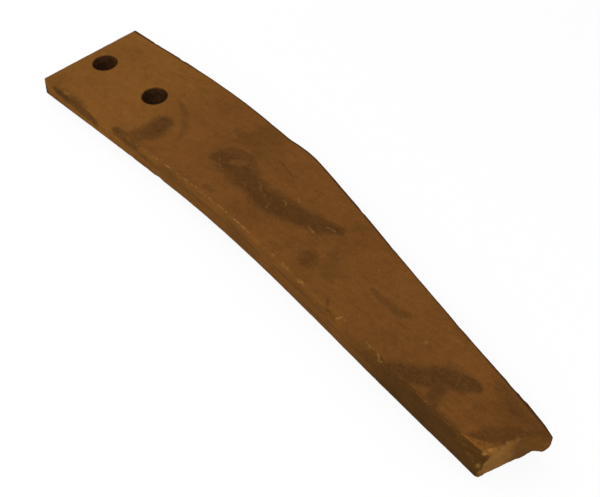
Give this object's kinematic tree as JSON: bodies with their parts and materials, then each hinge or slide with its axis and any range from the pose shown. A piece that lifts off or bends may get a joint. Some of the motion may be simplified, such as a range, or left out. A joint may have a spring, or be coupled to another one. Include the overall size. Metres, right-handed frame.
{
  "type": "power harrow tine",
  "caption": "Flat forged steel power harrow tine with a drilled bolt-on head and a swept, tapering blade, in worn brown varnish.",
  "frame": {"origin": "on the flat back face, halfway between the centres of the two bolt holes", "axes": "+X along the row of holes towards the tip, +Z out of the broad front face, +Y towards the tapered edge"},
  "size_m": [0.3747, 0.1032, 0.02],
  "materials": {
    "forged_steel": "thin brown protective varnish over dark forged steel, stained, satin"
  },
  "bodies": {
    "root": {"tine": "forged_steel"}
  },
  "joints": []
}
